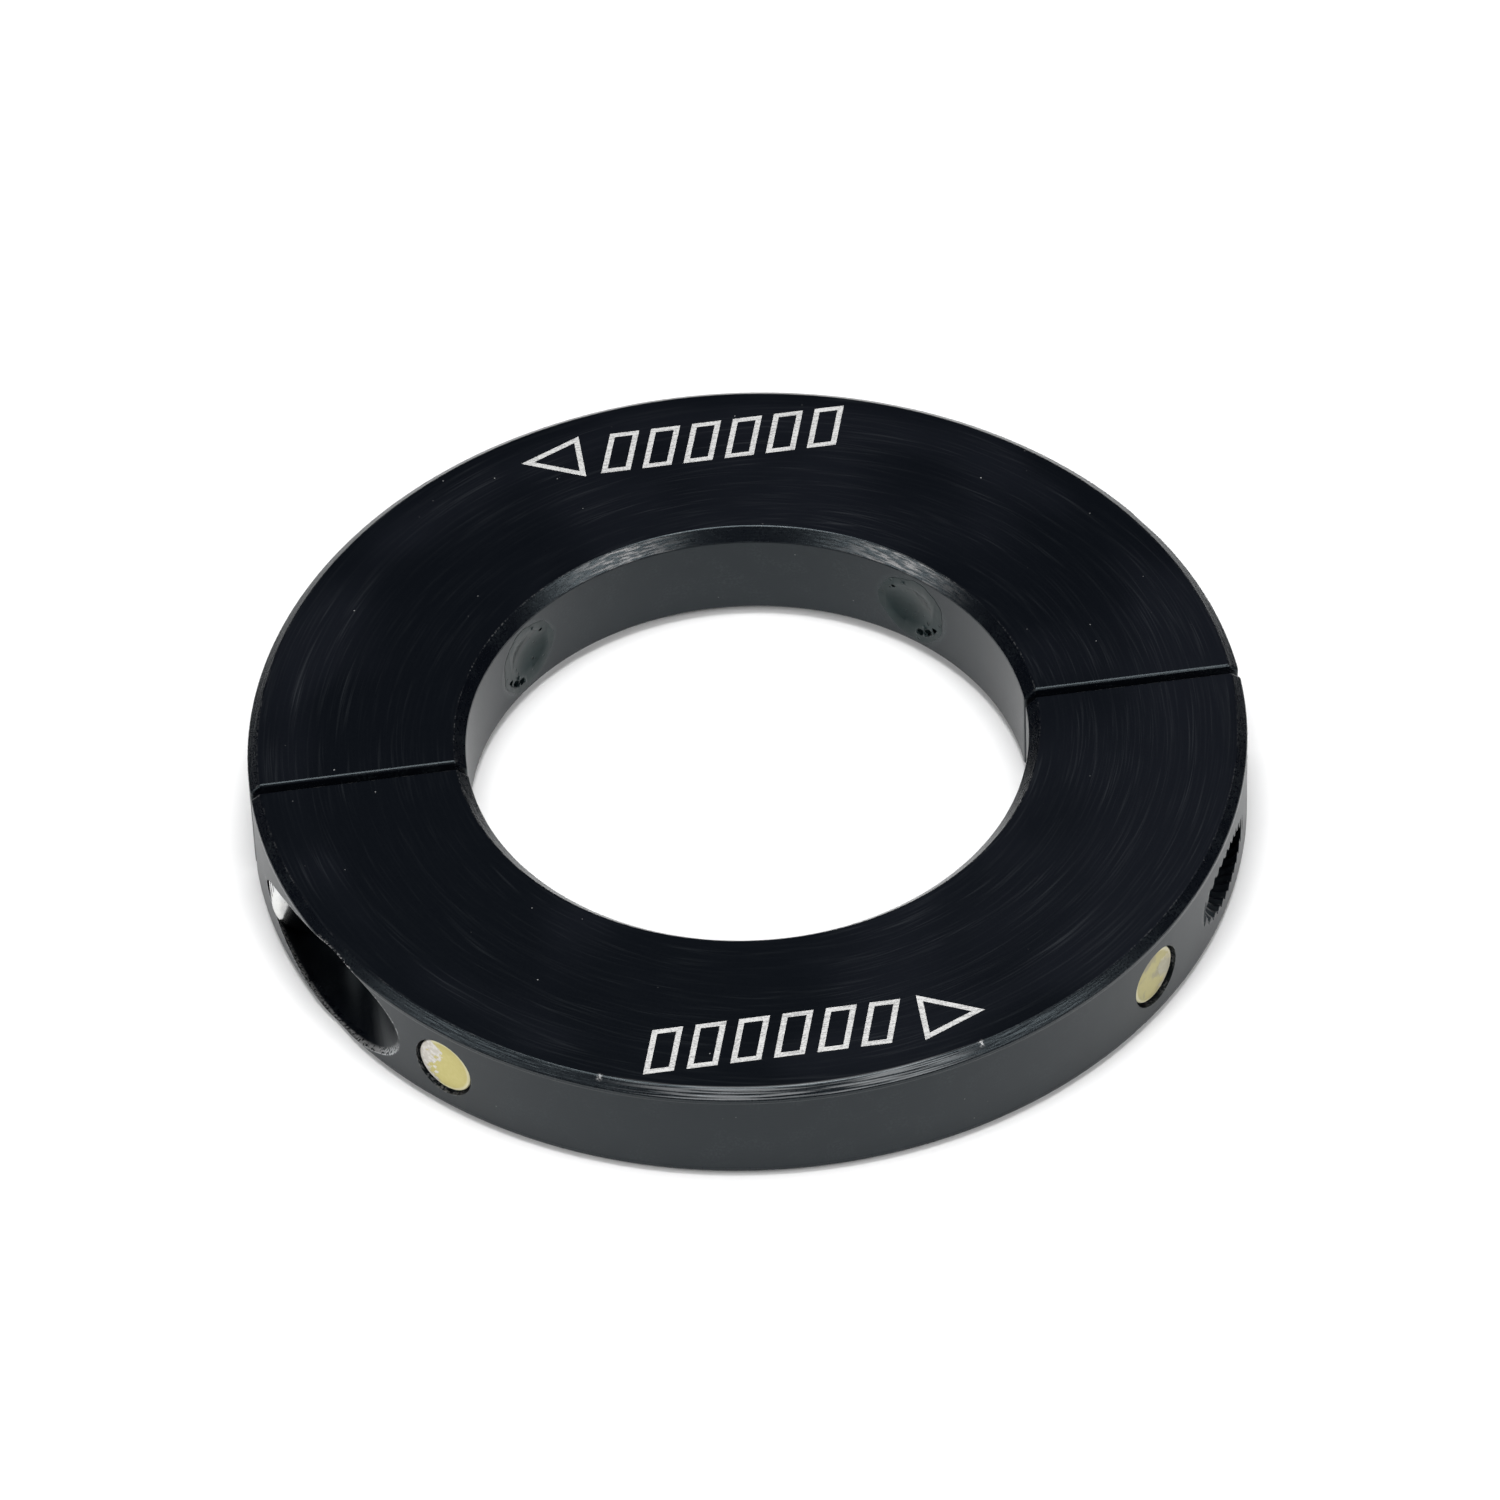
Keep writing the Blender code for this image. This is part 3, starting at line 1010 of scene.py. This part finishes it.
def hollow_out(shape):
    """Leaves just a rim of the flat shape, one stroke wide."""
    edit(shape)
    bpy.ops.mesh.inset(thickness=MARK_STROKE)
    bpy.ops.mesh.delete(type="FACE")
    leave_edit()


def slanted_bars():
    """A flat row of slanted outlined bars along X."""
    first_bar = -11.6 * MM
    bar_width = 2.3 * MM
    bar_pitch = 3.25 * MM
    slant = 1.3 * MM
    bars = start_object(
        bpy.ops.mesh.primitive_plane_add, "etched_mark_front", size=1, location=(first_bar, MARK_ROW, 0)
    )
    bars.scale = (bar_width, MARK_HEIGHT, 1)
    bpy.ops.object.transform_apply(location=True, rotation=True, scale=True)
    edit(bars)
    select_where(bars, "verts", lambda vert: vert.co.y > MARK_ROW)
    bpy.ops.transform.translate(value=(slant, 0, 0))
    leave_edit()
    hollow_out(bars)
    apply_modifier(
        bars,
        "Row",
        "ARRAY",
        count=6,
        use_relative_offset=False,
        use_constant_offset=True,
        constant_offset_displace=(bar_pitch, 0, 0),
    )
    return bars


def arrowhead():
    """A flat outlined triangle that points along +X."""
    middle = 9.9 * MM
    middle_to_point = 3.2 * MM
    # The triangle is 1.73 across before it is scaled, so it ends a little taller than the bars.
    across = MARK_HEIGHT / 1.62
    arrow = start_object(
        bpy.ops.mesh.primitive_circle_add,
        "arrowhead",
        vertices=3,
        radius=1,
        fill_type="NGON",
        location=(middle, MARK_ROW, 0),
        rotation=(0, 0, -math.pi / 2),
    )
    arrow.scale = (across, middle_to_point, 1)
    bpy.ops.object.transform_apply(location=True, rotation=True, scale=True)
    hollow_out(arrow)
    return arrow


class COLLAR_OT_add_marks(bpy.types.Operator):
    """Etch a plain turning-direction mark, slanted bars behind an arrowhead, on each half's top face"""

    bl_idname = "collar.add_marks"
    bl_label = "Add Etched Marks"

    def execute(self, context):
        ring, _, _, colours = sizes_of(context)
        sink = 0.02 * MM
        proud = 0.012 * MM
        bar = slanted_bars()
        arrow = arrowhead()
        only(bar)
        arrow.select_set(True)
        bpy.ops.object.join()
        place(bar, Matrix.Translation((0, 0, ring.thickness + proud)))
        apply_modifier(bar, "Depth", "SOLIDIFY", thickness=sink + proud, offset=-1)
        paint(bar, etched_finish(colours))
        other = copied(bar, "etched_mark_back", HALF_TURN)
        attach(bar, "front_half")
        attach(other, "back_half")
        return {"FINISHED"}


# Floor, lights and camera

LIGHT_DISTANCE = 1.0
# Name, width and height in metres, watts, azimuth and elevation in degrees
SOFTBOXES = (
    ("overhead_softbox", (0.5, 0.5), 9.2, 0, 90),
    ("left_softbox", (0.7, 0.22), 4.6, -64, 36),
    ("right_softbox", (0.68, 0.22), 4.5, 45, 40),
)
DARK_ROOM = (0.02, 0.021, 0.024, 1)
FLOOR_SIZE = 4


def softbox(name, size, power, azimuth, elevation, distance):
    """A flat light that faces the collar. Azimuth 0 is towards the viewer, positive to the right."""
    turn = math.radians(azimuth)
    lift = math.radians(elevation)
    towards = Vector((math.sin(turn) * math.cos(lift), -math.cos(turn) * math.cos(lift), math.sin(lift)))
    where = towards * distance
    light = bpy.data.lights.new(name, "AREA")
    light.shape = "RECTANGLE"
    light.size, light.size_y = size
    light.energy = power
    obj = bpy.data.objects.new(name, light)
    obj.location = where
    obj.rotation_euler = where.to_track_quat("Z", "Y").to_euler()
    bpy.context.scene.collection.objects.link(obj)


def viewing_camera():
    """A long lens, well back, turned a little about the collar and tilted down at it."""
    azimuth = math.radians(-6.7)
    elevation = math.radians(45.1)
    roll = math.radians(-2.35)
    distance = 767.4 * MM
    raised = 4.56 * MM
    turn = Matrix.Rotation(azimuth, 3, "Z")
    forward = turn @ Vector((0, math.cos(elevation), -math.sin(elevation)))
    level_right = turn @ Vector((1, 0, 0))
    level_up = level_right.cross(forward)
    right = math.cos(roll) * level_right + math.sin(roll) * level_up
    up = right.cross(forward)
    camera = bpy.data.cameras.new("viewing_camera")
    camera.lens = 240
    camera.sensor_width = 36
    camera.clip_start = 0.05
    obj = bpy.data.objects.new("viewing_camera", camera)
    place_at = up * raised - forward * distance
    obj.matrix_world = Matrix.Translation(place_at) @ Matrix((right, up, -forward)).transposed().to_4x4()
    bpy.context.scene.collection.objects.link(obj)
    bpy.context.scene.camera = obj


class COLLAR_OT_add_stage(bpy.types.Operator):
    """Add the pale floor, the soft studio lights and the camera"""

    bl_idname = "collar.add_stage"
    bl_label = "Add Stage"

    def execute(self, context):
        colours = context.scene.collar_colours
        under_collar = (0, 0, -0.02 * MM)
        floor = start_object(
            bpy.ops.mesh.primitive_plane_add, "floor", size=FLOOR_SIZE, location=under_collar
        )
        bpy.ops.object.transform_apply(location=True, rotation=False, scale=False)
        paint(floor, floor_finish(colours))
        for name, size, power, azimuth, elevation in SOFTBOXES:
            softbox(name, size, power, azimuth, elevation, LIGHT_DISTANCE)
        world = bpy.data.worlds.new("studio")
        world.use_nodes = True
        world.node_tree.nodes["Background"].inputs["Color"].default_value = DARK_ROOM
        context.scene.world = world
        context.scene.view_settings.view_transform = "Standard"
        viewing_camera()
        return {"FINISHED"}


class COLLAR_PT_pieces(bpy.types.Panel):
    """Buttons that model the collar's pieces"""

    bl_idname = "COLLAR_PT_pieces"
    bl_label = "Shaft Collar"
    bl_space_type = "VIEW_3D"
    bl_region_type = "UI"
    bl_category = "Collar"

    def draw(self, context):
        for operator in OPERATORS:
            self.layout.operator(operator.bl_idname)
        for group in GROUPS:
            box = self.layout.box()
            box.label(text=group.replace("_", " ").capitalize())
            settings = getattr(context.scene, group)
            for name in settings.bl_rna.properties.keys():
                if name not in ("rna_type", "name"):
                    box.prop(settings, name)


GROUPS = {
    "collar_ring": CollarRingSizes,
    "collar_screws": CollarScrewSizes,
    "collar_magnets": CollarMagnetSizes,
    "collar_colours": CollarColours,
}
OPERATORS = (
    COLLAR_OT_add_halves,
    COLLAR_OT_add_screws,
    COLLAR_OT_add_magnets,
    COLLAR_OT_add_plugs,
    COLLAR_OT_add_marks,
    COLLAR_OT_add_stage,
)
CLASSES = (*GROUPS.values(), *OPERATORS, COLLAR_PT_pieces)


def register():
    for cls in CLASSES:
        bpy.utils.register_class(cls)
    for group, cls in GROUPS.items():
        setattr(bpy.types.Scene, group, bpy.props.PointerProperty(type=cls))


def unregister():
    for group in GROUPS:
        delattr(bpy.types.Scene, group)
    for cls in reversed(CLASSES):
        bpy.utils.unregister_class(cls)


def main():
    register()
    bpy.ops.collar.add_halves()
    bpy.ops.collar.add_screws()
    bpy.ops.collar.add_magnets()
    bpy.ops.collar.add_plugs()
    bpy.ops.collar.add_marks()
    bpy.ops.collar.add_stage()


if __name__ == "__main__":
    main()
